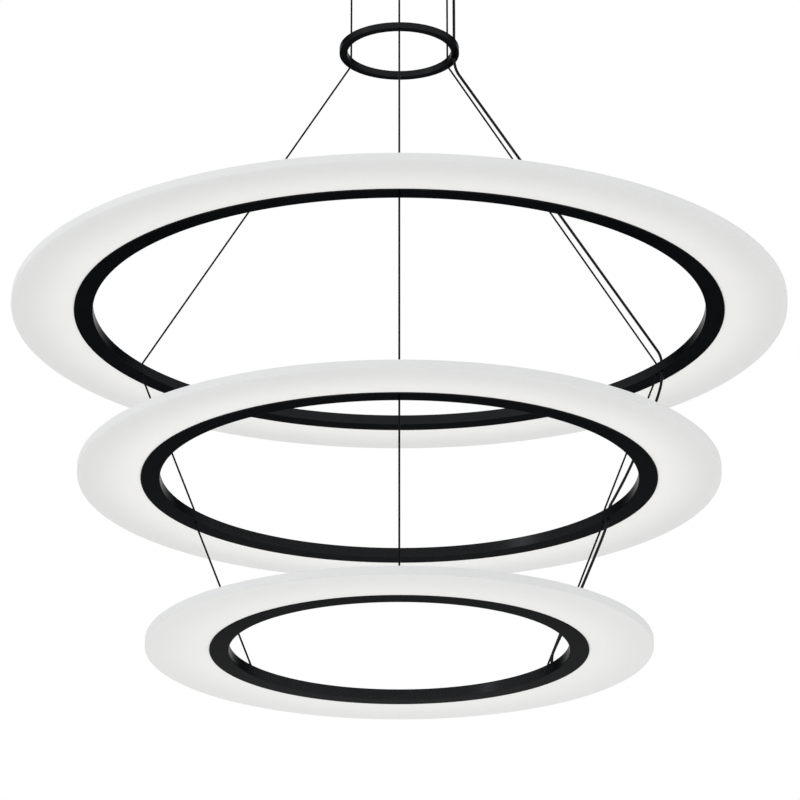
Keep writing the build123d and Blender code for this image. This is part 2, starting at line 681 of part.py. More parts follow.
def make_anchors(tier):
    """The blocks that the cables pass through and are locked in, and their locking screws."""
    inner = inner_r(tier)
    start, end = inner + HOOP_WALL + BLOCK_GAP, inner + RIB_START - BLOCK_GAP
    size = (end - start, ANCHOR_LENGTH, LID_Z - HOOP_FLOOR)
    hole_r = END_SLEEVE_R + HOLE_CLEARANCE
    blocks, screws = [], []
    for angle in CABLE_ANGLES:
        anchor = Rot(0, 0, angle) * block(size, (start + end) / 2, 0, HOOP_FLOOR)
        x, y, _ = polar(cable_r(tier), angle)
        anchor -= rod(hole_r, HOOP_FLOOR, LID_Z, x, y)
        anchor -= radial_rod(GRUB_R + THREAD_PLAY, start - 1.0, cable_r(tier), angle, TIER_HEIGHT / 2)
        blocks.append(anchor)
        tip = cable_r(tier) - CABLE_D / 2 - GRUB_TOUCH
        head = inner + GRUB_RECESS
        screw = radial_rod(GRUB_R, head, tip, angle, TIER_HEIGHT / 2)
        socket = radial_hex(GRUB_SOCKET_AF, head, head + GRUB_SOCKET_DEPTH, angle, TIER_HEIGHT / 2)
        screws.append(screw - socket)
    for number, (x, y) in enumerate(lid_screw_places(tier)):
        thread_hole = rod(LID_SCREW_R + THREAD_PLAY, TIER_HEIGHT - LID_SCREW_LENGTH - 0.5, LID_Z, x, y)
        blocks[number // 2] -= thread_hole
    return blocks, screws


def make_led_strip(tier):
    back = inner_r(tier) + RIB_START + RIB_WALL + STRIP_GAP
    face = back + STRIP_THICKNESS
    base = HOOP_FLOOR + STRIP_CLEARANCE
    top = LID_Z - STRIP_CLEARANCE
    strip = rod(face, base, top) - rod(back, base, top)
    count = round(2 * pi * face / LED_PITCH)
    sunk = STRIP_THICKNESS / 4
    size = (LED_THICKNESS + sunk, LED_SIZE, LED_SIZE)
    guide_middle = GUIDE_Z + GUIDE_THICKNESS / 2
    led = block(size, face - sunk + size[0] / 2, 0, guide_middle - LED_SIZE / 2)
    return strip + [Rot(0, 0, 360 / count * number) * led for number in range(count)]


def make_light_guide(tier):
    lamp_face = inner_r(tier) + RIB_START + RIB_WALL + STRIP_GAP + STRIP_THICKNESS + LED_THICKNESS
    start = lamp_face + GUIDE_INNER_GAP
    end = outer_r(tier) - TRAY_RIM - GUIDE_OUTER_GAP
    return rod(end, GUIDE_Z, GUIDE_TOP) - rod(start, GUIDE_Z, GUIDE_TOP)


def make_diffuser(tier):
    start, end = inner_r(tier) + HOOP_WIDTH + DISC_GAP, outer_r(tier)
    flange = inner_r(tier) + FLANGE_START
    seat = end - TRAY_RIM - SEAT_WIDTH
    return turned(
        [
            (start, DISC_RAISE),
            (end, DISC_RAISE),
            (end, DISC_TOP),
            (end - TRAY_RIM, DISC_TOP),
            (end - TRAY_RIM, GUIDE_Z),
            (seat, GUIDE_Z),
            (seat, DISC_RAISE + TRAY_FLOOR),
            (start + TRAY_RISER, DISC_RAISE + TRAY_FLOOR),
            (start + TRAY_RISER, GUIDE_Z),
            (flange, GUIDE_Z),
            (flange, HOOP_FLOOR),
            (start, HOOP_FLOOR),
        ],
        {0: EDGE_ROUND / 2, 1: TRAY_LOWER_ROUND, 2: TRAY_UPPER_ROUND},
    )


def make_back_cover(tier):
    start, end = inner_r(tier) + HOOP_WIDTH + DISC_GAP, outer_r(tier) - TRAY_RIM - COVER_GAP
    flange = inner_r(tier) + FLANGE_START
    flange_top = LID_Z - FLANGE_PLAY
    under = DISC_TOP - COVER_THICKNESS
    return turned(
        [
            (start, DISC_TOP),
            (start, flange_top),
            (flange, flange_top),
            (flange, GUIDE_TOP),
            (start + TRAY_RISER, GUIDE_TOP),
            (start + TRAY_RISER, under),
            (end - SEAT_WIDTH, under),
            (end - SEAT_WIDTH, GUIDE_TOP),
            (end, GUIDE_TOP),
            (end, DISC_TOP),
        ],
        {0: EDGE_ROUND / 2, 9: EDGE_ROUND},
    )


def make_wire_tap(tier):
    """The connector that the cord passes through, or ends in at the bottom tier."""
    inner = inner_r(tier)
    start, end = inner + HOOP_WALL + BLOCK_GAP, inner + RIB_START - BLOCK_GAP
    size = (end - start, TAP_LENGTH, LID_Z - TAP_HEADROOM - HOOP_FLOOR)
    angle = along_hoop(tier, TAP_START + TAP_LENGTH / 2)
    tap = Rot(0, 0, angle) * block(size, (start + end) / 2, 0, HOOP_FLOOR)
    last = tier == len(TIER_NAMES) - 1
    x, y, _ = cord_point(tier)
    return tap - rod(CORD_D / 2 + TAP_PLAY, CORD_SPLIT_HEIGHT if last else HOOP_FLOOR, LID_Z, x, y)


def save_tier(tier):
    name = TIER_NAMES[tier]
    place = Pos(0, 0, base_z(tier))
    anchors, cable_screws = make_anchors(tier)
    pieces = {
        "hoop": [make_hoop(tier)],
        "lid": [make_lid(tier)],
        "lid_screws": make_lid_screws(tier),
        "anchors": anchors,
        "cable_screws": cable_screws,
        "led_strip": [make_led_strip(tier)],
        "light_guide": [make_light_guide(tier)],
        "diffuser": [make_diffuser(tier)],
        "back_cover": [make_back_cover(tier)],
        "wire_tap": [make_wire_tap(tier)],
    }
    for piece, solids in pieces.items():
        save(f"{name}_{piece}", *[place * solid for solid in solids])


def save_ceiling_end():
    screws, canopy_holes, tab_holes = canopy_screw_parts()
    save("ceiling_plate", make_ceiling_plate(tab_holes))
    save("canopy_shell", make_canopy(canopy_holes))
    save("canopy_screws", *screws)
    driver, driver_screws = make_driver()
    save("led_driver", driver)
    save("driver_screws", *driver_screws)
    save("terminal_block", make_terminal_block())
    save("earth_screw", make_earth_screw())
    save("driver_leads", *make_driver_leads())
    gland, gland_nut = make_gland()
    save("cord_gland", gland)
    save("gland_nut", gland_nut)
    barrels, nuts, plungers, springs = zip(*[make_gripper(angle) for angle in CABLE_ANGLES])
    save("gripper_barrels", *barrels)
    save("gripper_nuts", *nuts)
    for number in range(len(CABLE_ANGLES)):
        save(f"gripper_plunger_{number + 1}", plungers[number])
        save(f"gripper_spring_{number + 1}", springs[number])


def save_suspension():
    ring, screws = make_spreader()
    save("spreader_ring", ring)
    save("spreader_screws", *screws)
    save("upper_cables", *make_upper_cables())
    save("cone_cables", *make_cone_cables())
    save("middle_cables", *make_tier_cables(0))
    save("lower_cables", *make_tier_cables(1))
    save("bottom_cable_ends", *make_cable_ends())
    for name, cord in make_cords().items():
        save(name, cord)


os.makedirs("parts", exist_ok=True)
save_ceiling_end()
save_suspension()
for number, tier_name in enumerate(TIER_NAMES):
    save_tier(number)
    print(f"{tier_name} tier: underside at z = {base_z(number):.1f}, radius {outer_r(number):.1f}")
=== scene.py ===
import math

import bmesh
import bpy
from mathutils import Matrix, Vector


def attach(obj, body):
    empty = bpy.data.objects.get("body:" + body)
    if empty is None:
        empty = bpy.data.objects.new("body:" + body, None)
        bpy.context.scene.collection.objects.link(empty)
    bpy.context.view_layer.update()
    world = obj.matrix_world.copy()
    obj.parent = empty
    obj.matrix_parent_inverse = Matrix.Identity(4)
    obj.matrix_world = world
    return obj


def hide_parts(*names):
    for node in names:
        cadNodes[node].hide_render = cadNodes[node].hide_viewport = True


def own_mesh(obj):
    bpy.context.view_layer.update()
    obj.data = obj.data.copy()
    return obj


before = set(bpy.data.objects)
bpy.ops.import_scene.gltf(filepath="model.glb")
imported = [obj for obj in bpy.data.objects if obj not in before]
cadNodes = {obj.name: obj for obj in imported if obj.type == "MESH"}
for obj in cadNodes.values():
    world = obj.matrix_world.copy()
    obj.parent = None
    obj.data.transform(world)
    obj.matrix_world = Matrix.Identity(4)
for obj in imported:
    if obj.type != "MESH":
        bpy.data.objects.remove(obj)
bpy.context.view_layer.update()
scene = bpy.context.scene
scene.view_settings.view_transform = "Standard"

# The camera stands below the lowest ring and looks up.
photoCamera = {
    "at": (0.0, -4.324, -2.2747), "tilt": 110.36,  # a tilt of 90 looks level
    "lens": 167.3, "sensor": 36.0, "shiftX": 0.0009,
}

cameraData = bpy.data.cameras.new("photoCamera")
cameraData.lens = photoCamera["lens"]
cameraData.sensor_width = photoCamera["sensor"]
cameraData.shift_x = photoCamera["shiftX"]
cameraObject = bpy.data.objects.new("photoCamera", cameraData)
cameraObject.location = photoCamera["at"]
cameraObject.rotation_euler = (math.radians(photoCamera["tilt"]), 0, 0)
scene.collection.objects.link(cameraObject)
scene.camera = cameraObject
print("camera placed")

mm = 0.001

# Sizes that several pieces share, in metres.
tiers = {
    "names": ("top", "middle", "bottom"),
    "underside": (-0.5632, -0.7798, -0.9964),
    "innerRadius": (0.3823, 0.2943, 0.2063),  # of the black hoop
    "hoopWidth": 0.0234,
    "discWidth": 0.0779,
    "height": 0.0132,
    "lidUnderside": 0.0116,  # above the tier's underside
    "cableInset": 0.005,  # from the hoop's inner wall
    "cordBesideCable": 0.011,  # along the circle on which the cables stand
}
hanging = {
    "radius": 0.0718,  # of the cables' circle in the small ring and the ceiling cup
    "angles": (-90, 30, 150),
    "cordAngle": 10.5,
    "spreaderUnderside": -0.1963,
    "spreaderHeight": 0.0083,
    "split": -0.1943,  # where two stretches meet inside the small ring
    "canopyUnderside": -0.055,
}
tierCount = len(tiers["names"])


def polar(radius, angle, z=0.0):
    return Vector((radius * math.cos(math.radians(angle)), radius * math.sin(math.radians(angle)), z))


def lidTop(tier):
    return tiers["underside"][tier] + tiers["height"]


def cableRadius(tier):
    return tiers["innerRadius"][tier] + tiers["cableInset"]


def cordPoint(tier, z=0.0):
    angle = hanging["angles"][1] - math.degrees(tiers["cordBesideCable"] / cableRadius(tier))
    return polar(cableRadius(tier), angle, z)


class Wire:  # a node socket that can stand in a sum
    def __init__(self, tree, socket=None):
        self.tree, self.socket = tree, socket

    def node(self, kind, settings=None, sockets=None, out=0):
        made = self.tree.nodes.new("ShaderNode" + kind)
        for name, value in (settings or {}).items():
            setattr(made, name, value)
        for name, value in (sockets or {}).items():
            if isinstance(value, Wire):
                self.tree.links.new(value.socket, made.inputs[name])
            else:
                made.inputs[name].default_value = value
        return Wire(self.tree, made.outputs[out]) if made.outputs else made

    def also(self, out):  # another output of the same node
        return Wire(self.tree, self.socket.node.outputs[out])

    def maths(self, operation, *terms):
        return self.node("Math", {"operation": operation}, dict(enumerate(terms)))

    def __add__(self, other):
        return self.maths("ADD", self, other)

    def __sub__(self, other):
        return self.maths("SUBTRACT", self, other)

    def __rsub__(self, other):
        return self.maths("SUBTRACT", other, self)

    def __mul__(self, other):
        return self.maths("MULTIPLY", self, other)

    __radd__, __rmul__ = __add__, __mul__


def eased(wire, low, high):  # 0 below low, 1 above high
    settings = {"interpolation_type": "SMOOTHSTEP"}
    return wire.node("MapRange", settings, {"Value": wire, "From Min": low, "From Max": high})


def grain(wire, scale, detail=3.0, stretch=(1, 1, 1)):
    place = wire.node("TexCoord", out="Object")
    spread = wire.node("Mapping", None, {"Vector": place, "Scale": stretch})
    return wire.node("TexNoise", None, {"Vector": spread, "Scale": scale, "Detail": detail, "Roughness": 0.55})


def between(wire, share, first, second):  # a colour between two
    sockets = {0: share, 6: (*first, 1), 7: (*second, 1)}
    return wire.node("Mix", {"data_type": "RGBA"}, sockets, out=2)


def roughened(noise, look):  # by half the spread to each side of the look's roughness
    return noise * look["spread"] + (look["roughness"] - look["spread"] / 2)


def dented(wire, height, look):
    return wire.node("Bump", None, {"Height": height, "Strength": look["bump"], "Distance": look["depth"]})


def around(wire):  # distance from the lamp's axis
    parts = wire.node("SeparateXYZ", None, {0: wire.node("TexCoord", out="Object")})
    x, y = parts, parts.also(1)
    return wire.maths("SQRT", x * x + y * y)


def newFinish(name):
    material = bpy.data.materials.new(name)
    material.use_nodes = True
    material.node_tree.nodes.clear()
    return material, Wire(material.node_tree)


def closeFinish(wire, sockets):
    shader = wire.node("BsdfPrincipled", None, sockets)
    wire.node("OutputMaterial", None, {"Surface": shader})


# Metals, coatings and plastics that differ only in numbers. Grain and clouds are per metre, depth is in metres.
plainLook = {  # what a finish below doesn't say
    "metallic": 0.0, "gloss": 0.5, "edge": 1.0,  # edge: the reflection left where a surface is seen edge on
    "stretch": (1, 1, 1), "clouds": 38.0, "grainShare": 0.6,
}
plainFinishes = {
    "black_aluminium": {
        "dark": (0.0154, 0.0160, 0.0169), "light": (0.0193, 0.0200, 0.0210), "metallic": 1.0, "edge": 0.41,
        "roughness": 0.24, "spread": 0.05, "grain": 1500, "bump": 0.01, "depth": 0.00001,
    },
    "black_lid": {
        "dark": (0.0080, 0.0080, 0.0082), "light": (0.0115, 0.0115, 0.0118), "gloss": 0.0,
        "roughness": 0.46, "spread": 0.05, "grain": 1500, "bump": 0.02, "depth": 0.00002,
    },
    "black_painted": {
        "dark": (0.006, 0.006, 0.007), "light": (0.011, 0.011, 0.012), "gloss": 0.12,
        "roughness": 0.42, "spread": 0.06, "grain": 1500, "bump": 0.22, "depth": 0.00006,
    },
    "screw_black": {
        "dark": (0.008, 0.008, 0.009), "light": (0.020, 0.019, 0.018), "metallic": 0.4,
        "roughness": 0.38, "spread": 0.12, "grain": 1800, "bump": 0.10, "depth": 0.00004,
    },
    "plate_steel": {
        "dark": (0.46, 0.47, 0.49), "light": (0.66, 0.67, 0.68), "metallic": 1.0,
        "roughness": 0.42, "spread": 0.14, "grain": 110, "bump": 0.05, "depth": 0.00005,
    },
    "screw_zinc": {
        "dark": (0.50, 0.50, 0.52), "light": (0.68, 0.68, 0.70), "metallic": 1.0,
        "roughness": 0.32, "spread": 0.12, "grain": 900, "bump": 0.08, "depth": 0.00003,
    },
    "earth_brass": {
        "dark": (0.58, 0.42, 0.17), "light": (0.78, 0.62, 0.30), "metallic": 1.0,
        "roughness": 0.26, "spread": 0.12, "grain": 700, "bump": 0.06, "depth": 0.00003,
    },
    "gripper_metal": {
        "dark": (0.58, 0.58, 0.57), "light": (0.70, 0.70, 0.69), "metallic": 1.0,
        "roughness": 0.28, "spread": 0.06, "grain": 500, "stretch": (1, 1, 14), "bump": 0.05, "depth": 0.00002,
    },
    "nut_metal": {
        "dark": (0.56, 0.56, 0.55), "light": (0.70, 0.70, 0.69), "metallic": 1.0,
        "roughness": 0.30, "spread": 0.08, "grain": 800, "bump": 0.05, "depth": 0.00003,
    },
    "plunger_metal": {
        "dark": (0.62, 0.62, 0.62), "light": (0.74, 0.74, 0.74), "metallic": 1.0,
        "roughness": 0.22, "spread": 0.06, "grain": 600, "stretch": (1, 1, 16), "bump": 0.04, "depth": 0.00002,
    },
    "spring_steel": {
        "dark": (0.36, 0.36, 0.37), "light": (0.56, 0.56, 0.57), "metallic": 1.0,
        "roughness": 0.30, "spread": 0.10, "grain": 1500, "bump": 0.06, "depth": 0.00002,
    },
    "anchor_aluminium": {
        "dark": (0.52, 0.53, 0.54), "light": (0.66, 0.67, 0.68), "metallic": 1.0,
        "roughness": 0.36, "spread": 0.10, "grain": 400, "stretch": (1, 1, 20), "bump": 0.10, "depth": 0.00003,
    },
    "driver_case": {
        "dark": (0.74, 0.74, 0.72), "light": (0.80, 0.80, 0.78),
        "roughness": 0.48, "spread": 0.06, "grain": 1100, "bump": 0.30, "depth": 0.00008,
    },
    "terminal_plastic": {
        "dark": (0.76, 0.74, 0.66), "light": (0.82, 0.80, 0.74),
        "roughness": 0.38, "spread": 0.05, "grain": 260, "bump": 0.06, "depth": 0.00006,
    },
    "tap_plastic": {
        "dark": (0.74, 0.74, 0.71), "light": (0.81, 0.81, 0.78),
        "roughness": 0.40, "spread": 0.05, "grain": 300, "bump": 0.06, "depth": 0.00006,
    },
    "gland_nylon": {
        "dark": (0.010, 0.010, 0.011), "light": (0.020, 0.020, 0.021), "gloss": 0.2,
        "roughness": 0.46, "spread": 0.08, "grain": 700, "bump": 0.16, "depth": 0.00005,
    },
    "white_cover": {
        "dark": (0.735, 0.740, 0.745), "light": (0.760, 0.765, 0.770), "gloss": 0.0,
        "roughness": 0.42, "spread": 0.05, "grain": 900, "bump": 0.05, "depth": 0.00004,
    },
}


def plainFinish(slot, look):
    material, wire = newFinish(slot + "_finish")
    fine = grain(wire, look["grain"], 4.0, look["stretch"])
    cloudy = grain(wire, look["clouds"], 2.0)
    mottled = fine * look["grainShare"] + cloudy * (1 - look["grainShare"])
    closeFinish(wire, {
        "Base Color": between(wire, mottled, look["dark"], look["light"]),
        "Metallic": look["metallic"],
        "Specular IOR Level": look["gloss"],
        "Specular Tint": (*[look["edge"]] * 3, 1),
        "Roughness": roughened(cloudy, look),
        "Normal": dented(wire, fine, look),
    })
    return material


# The white disc glows a little more towards the hoop, where its lamps are, by one number for each tier. Part of that
# glow is painted light: the top and middle tiers glow more than the bottom one, which lifts the shade that the rings
# below them cast.
discLook = {
    "dark": (0.810, 0.801, 0.791), "light": (0.834, 0.825, 0.815), "clouds": 9.0,
    "glowAndLift": (1.0, 0.98, 0.89), "hoopGlowAndLift": (0.150, 0.150, 0.080), "rimGlowAndLift": (0.014, 0.014, 0.0),
    "fadedBy": 0.92,  # of its width
    "roughness": 0.525, "spread": 0.05, "gloss": 0.02, "grain": 1400, "bump": 0.04, "depth": 0.00003,
}


def discFinish(tier):
    material, wire = newFinish(tiers["names"][tier] + "_disc_finish")
    start = tiers["innerRadius"][tier] + tiers["hoopWidth"]
    faded = eased(around(wire), start, start + discLook["fadedBy"] * tiers["discWidth"])
    # glow from the lamps in the hoop, plus a painted lift of the upper tiers' shade
    glowAndLift = discLook["hoopGlowAndLift"][tier] * (1 - faded) + discLook["rimGlowAndLift"][tier]
    fine = grain(wire, discLook["grain"])
    cloudy = grain(wire, discLook["clouds"], 2.0)
    closeFinish(wire, {
        "Base Color": between(wire, cloudy, discLook["dark"], discLook["light"]),
        "Roughness": roughened(fine, discLook),
        "Specular IOR Level": discLook["gloss"],
        "Emission Color": between(wire, glowAndLift, (0, 0, 0), discLook["glowAndLift"]),
        "Emission Strength": 1.0,
        "Normal": dented(wire, fine, discLook),
    })
    return material


# Steel cable: outer wires wound round it, read from the tube's own UV (round it, and along it in diameters). Its colour
# holds painted shade, darker in the grooves between the wires, mixed with random smudges.
strandLook = {
    "wires": 6, "turnEvery": 7.0, "dark": (0.004, 0.004, 0.004), "light": (0.009, 0.009, 0.010), "grooveShadeShare": 0.75,
    "roughness": 0.55, "spread": 0.16, "gloss": 0.03, "grain": 600, "bump": 0.08, "depth": 0.0001,
}


def strandFinish():
    material, wire = newFinish("cable_strand_finish")
    parts = wire.node("SeparateXYZ", None, {0: wire.node("UVMap", {"uv_map": "wrap"})})
    turns = parts + parts.also(1) * (1 / strandLook["turnEvery"])
    ridge = wire.maths("ABSOLUTE", wire.maths("SINE", turns * (strandLook["wires"] * math.pi)))
    smudge = grain(wire, strandLook["grain"])
    # painted shade: darker in the grooves between the wires, lighter on their crowns, mixed with random smudges
    grooveShadeAndSmudge = ridge * strandLook["grooveShadeShare"] + smudge * (1 - strandLook["grooveShadeShare"])
    closeFinish(wire, {
        "Base Color": between(wire, grooveShadeAndSmudge, strandLook["dark"], strandLook["light"]),
        "Specular IOR Level": strandLook["gloss"],
        "Roughness": roughened(smudge, strandLook),
        "Normal": dented(wire, ridge, strandLook),
    })
    return material


# Power cord and leads: a smooth jacket with faint lengthwise marks.
jacketLook = {
    "marks": (26, 0.5, 1), "markShare": 0.6, "grain": 2200, "spread": 0.10, "bump": 0.15, "depth": 0.00004,
}
jackets = {
    "cord_jacket": {"dark": (0.010, 0.010, 0.011), "light": (0.017, 0.017, 0.019), "roughness": 0.36, "gloss": 0.05},
    "lead_jacket": {"dark": (0.018, 0.018, 0.018), "light": (0.032, 0.032, 0.032), "roughness": 0.48, "gloss": 0.2},
}


def jacketFinish(slot, look):
    material, wire = newFinish(slot + "_finish")
    along = wire.node("Mapping", None, {"Vector": wire.node("UVMap", {"uv_map": "wrap"}), "Scale": look["marks"]})
    drawn = wire.node("TexNoise", None, {"Vector": along, "Scale": 1.0, "Detail": 3.0})
    fine = grain(wire, look["grain"])
    closeFinish(wire, {
        "Base Color": between(wire, drawn, look["dark"], look["light"]),
        "Roughness": roughened(drawn, look),
        "Specular IOR Level": look["gloss"],
        "Normal": dented(wire, drawn * look["markShare"] + fine * (1 - look["markShare"]), look),
    })
    return material


# White board with lamps that stand out of it: past lampStart the surface is a lamp, and smoother by lampShine.
stripLook = {
    "lampStart": 0.01445, "lampEdge": 0.00005, "board": (0.80, 0.80, 0.77), "lamp": (0.82, 0.66, 0.22),
    "roughness": 0.525, "spread": 0.05, "lampShine": 0.2, "grain": 900, "bump": 0.08, "depth": 0.00005,
}


def stripFinish(tier):
    material, wire = newFinish(tiers["names"][tier] + "_strip_finish")
    start = tiers["innerRadius"][tier] + stripLook["lampStart"]
    onLamp = eased(around(wire), start, start + stripLook["lampEdge"])
    fine = grain(wire, stripLook["grain"])
    closeFinish(wire, {
        "Base Color": between(wire, onLamp, stripLook["board"], stripLook["lamp"]),
        "Roughness": roughened(fine, stripLook) - stripLook["lampShine"] * onLamp,
        "Normal": dented(wire, fine, stripLook),
    })
    return material


guideLook = {
    "dark": (0.90, 0.955, 0.94), "light": (0.96, 0.985, 0.98), "clouds": 24.0, "ior": 1.49,
    "roughness": 0.06, "spread": 0.04, "bump": 0.03, "depth": 0.0002,
}


def guideFinish():
    material, wire = newFinish("guide_acrylic_finish")
    cloudy = grain(wire, guideLook["clouds"], 2.0)
    closeFinish(wire, {
        "Base Color": between(wire, cloudy, guideLook["dark"], guideLook["light"]),
        "Roughness": roughened(cloudy, guideLook),
        "IOR": guideLook["ior"],
        "Transmission Weight": 1.0,
        "Normal": dented(wire, cloudy, guideLook),
    })
    return material


finishes = {slot: plainFinish(slot, {**plainLook, **look}) for slot, look in plainFinishes.items()}
finishes["cable_steel"] = strandFinish()
finishes["guide_acrylic"] = guideFinish()
for slot, look in jackets.items():
    finishes[slot] = jacketFinish(slot, {**jacketLook, **look})
tierFinishes = {  # these change with the distance from the axis, so each tier has its own
    "white_diffuser": [discFinish(tier) for tier in range(tierCount)],
    "strip_board": [stripFinish(tier) for tier in range(tierCount)],
}


def finishFor(slotName, nodeName):
    if slotName in tierFinishes:
        return tierFinishes[slotName][tiers["names"].index(nodeName.split("_")[0])]
    return finishes[slotName]


for nodeName, cadNode in cadNodes.items():  # each CAD node takes its own slot's finish
    for materialSlot in cadNode.material_slots:
        materialSlot.material = finishFor(materialSlot.material.name.split(".")[0], nodeName)
print("finishes made")


def addPiece(name, bm, body, slotName, replaced, sharpAngle=40):
    mesh = bpy.data.meshes.new(name)
    bm.to_mesh(mesh)
    bm.free()
    mesh.materials.append(finishFor(slotName, replaced))
    mesh.shade_smooth()
    mesh.set_sharp_from_angle(angle=math.radians(sharpAngle))
    piece = bpy.data.objects.new(name, mesh)
    scene.collection.objects.link(piece)
    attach(piece, body)
    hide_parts(replaced)
    return piece


# Cables and cords. A stretch follows the points of its own smooth spline.
def splinePoints(points, resolution=14, closest=0.02 * mm):
    line = bpy.data.curves.new("route", "CURVE")
    line.dimensions = "3D"
    line.resolution_u = resolution
    spline = line.splines.new("NURBS")
    spline.points.add(len(points) - 1)
    for point, place in zip(spline.points, points):
        point.co = (*place, 1)
    spline.order_u = 3
    spline.use_endpoint_u = True
    holder = bpy.data.objects.new("route", line)
    plain = bpy.data.meshes.new_from_object(holder)
    found = [vertex.co.copy() for vertex in plain.vertices]
    bpy.data.objects.remove(holder)
    bpy.data.curves.remove(line)
    bpy.data.meshes.remove(plain)
    kept = found[:1]
    for place in found[1:]:
        if (place - kept[-1]).length > closest:
            kept.append(place)
    return kept


def tubeOn(path, diameter, sides):
    bm = bmesh.new()
    wrap = bm.loops.layers.uv.new("wrap")
    heading = (path[1] - path[0]).normalized()
    turn = heading.to_track_quat("Z", "X")
    here = Matrix.Translation(path[0]) @ turn.to_matrix().to_4x4()
    start = bmesh.ops.create_circle(bm, cap_ends=True, segments=sides, radius=diameter / 2, matrix=here)
    rim = list(bm.edges)
    spot = {vertex: (index / sides, 0.0) for index, vertex in enumerate(start["verts"])}
    travelled = 0.0
    for number in range(1, len(path)):
        ahead = (path[min(number + 1, len(path) - 1)] - path[number - 1]).normalized()
        turn = heading.rotation_difference(ahead) @ turn
        heading = ahead
        before, here = here, Matrix.Translation(path[number]) @ turn.to_matrix().to_4x4()
        travelled += (path[number] - path[number - 1]).length / diameter
        made = bmesh.ops.extrude_edge_only(bm, edges=rim)["geom"]
        ring = [part for part in made if isinstance(part, bmesh.types.BMVert)]
        inRing = set(ring)
        newEdges = [part for part in made if isinstance(part, bmesh.types.BMEdge)]
        rim = [edge for edge in newEdges if inRing.issuperset(edge.verts)]
        for vertex in ring:
            neighbours = [edge.other_vert(vertex) for edge in vertex.link_edges]
            below = next(other for other in neighbours if other not in inRing)
            spot[vertex] = (spot[below][0], travelled)
        bmesh.ops.transform(bm, matrix=here @ before.inverted(), verts=ring)
    bmesh.ops.contextual_create(bm, geom=rim)
    bmesh.ops.recalc_face_normals(bm, faces=bm.faces)
    for face in bm.faces:
        rounds = [spot[loop.vert][0] for loop in face.loops]
        seam = max(rounds) - min(rounds) > 0.5 and len(face.verts) == 4
        for loop in face.loops:
            u, v = spot[loop.vert]
            loop[wrap].uv = (u + 1 if seam and u < 0.5 else u, v)
    return bm


def layStretch(name, points, run):
    path = splinePoints(points)
    tube = tubeOn(path, run["diameter"], run["sides"])
    piece = addPiece(name, tube, run["body"], run["slot"], run["node"], sharpAngle=60)
    if "joint" in run:
        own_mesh(piece)


def withEdgePoints(points, corners, distance):  # one more point beside each corner: 1 is after it, -1 before it
    made = []
    for number, point in enumerate(points):
        side = corners.get(number, 0)
        if side < 0:
            made.append(point + (points[number - 1] - point).normalized() * distance)
        made.append(point)
        if side > 0:
            made.append(point + (points[number + 1] - point).normalized() * distance)
    return made


# Stretches of cable and cord, top down. Each names the joint that raises what hangs on it, and an anchor height at its
# upper end.
stretches = {
    "upper": {"body": "ceiling", "joint": "height_adjust", "anchor": hanging["canopyUnderside"]},
    "cone": {"body": "pendant", "joint": "top_tier_adjust", "anchor": hanging["split"]},
    "middle": {"body": "top_tier", "joint": "middle_tier_adjust", "anchor": tiers["underside"][0]},
    "lower": {"body": "middle_tier", "joint": "bottom_tier_adjust", "anchor": tiers["underside"][1]},
}

cableShape = {
    "diameter": 0.0024, "sides": 16, "slot": "cable_steel", "stiffness": "medium", "lay": "taut",
    "edge": 0.0144,  # from a corner to the point beside it
    "top": -0.038,  # inside the grippers
    "sunk": 0.001,  # how far under a lid's top two stretches meet
}
cableRuns = {  # keep is the share of its length left at the joint's limit, bend how far above a mouth it turns
    "upper": {"length": 0.1563, "keep": 0.3898},
    "cone": {"length": 0.4768, "keep": 0.7757, "bend": 0.0005},
    "middle": {"length": 0.2348, "keep": 0.6086, "bend": 0.0003},
    "lower": {"length": 0.2348, "keep": 0.6086, "bend": 0.0003},
}


def cablePoints(name, angle):
    if name == "upper":
        points = [polar(hanging["radius"], angle, z) for z in (cableShape["top"], hanging["split"])]
        return withEdgePoints(points, {0: 1, 1: -1}, cableShape["edge"])
    bend, sunk = cableRuns[name]["bend"], cableShape["sunk"]
    below = list(cableRuns).index(name) - 1
    if name == "cone":
        radius, start, mouth = hanging["radius"], hanging["split"], hanging["spreaderUnderside"]
    else:
        radius, start, mouth = cableRadius(below - 1), lidTop(below - 1) - sunk, tiers["underside"][below - 1]
    points = [
        polar(radius, angle, start),
        polar(radius, angle, mouth + bend),
        polar(cableRadius(below), angle, lidTop(below) + bend),
        polar(cableRadius(below), angle, lidTop(below) - sunk),
    ]
    return withEdgePoints(points, {1: 1, 2: -1}, cableShape["edge"])


for runName, run in cableRuns.items():
    run = {**cableShape, **stretches[runName], **run, "node": runName + "_cables"}
    for number, angle in enumerate(hanging["angles"]):
        layStretch(f"{runName}_cable_{number + 1}", cablePoints(runName, angle), run)

cordShape = {
    "diameter": 0.0036, "sides": 20, "slot": "cord_jacket", "stiffness": "medium", "lay": "hanging",
    "edge": 0.0216,
    "top": -0.045,  # inside the gland
    "meet": 0.0045,  # how far above a tier's underside two stretches meet
}
cordRuns = {  # each point of a route is its share of the way across and of the way down, mouth to mouth
    "upper": {"length": 0.1493, "keep": 0.3898, "route": (), "edges": {0: 1, 1: -1}},
    "cone": {"length": 0.4908, "keep": 0.7805, "route": ((0, 0.038), (1.003, 0.979)), "edges": {1: 1, 2: -1}},
    "middle": {
        "length": 0.2362, "keep": 0.6228, "edges": {},
        "route": ((0, 0.056), (0.080, 0.170), (0.307, 0.416), (0.602, 0.695), (0.875, 0.907), (1, 0.992)),
    },
    "lower": {
        "length": 0.2355, "keep": 0.6228, "edges": {},
        "route": ((0, 0.007), (0.102, 0.121), (0.466, 0.468), (0.824, 0.794), (0.960, 0.905), (1, 0.955)),
    },
}
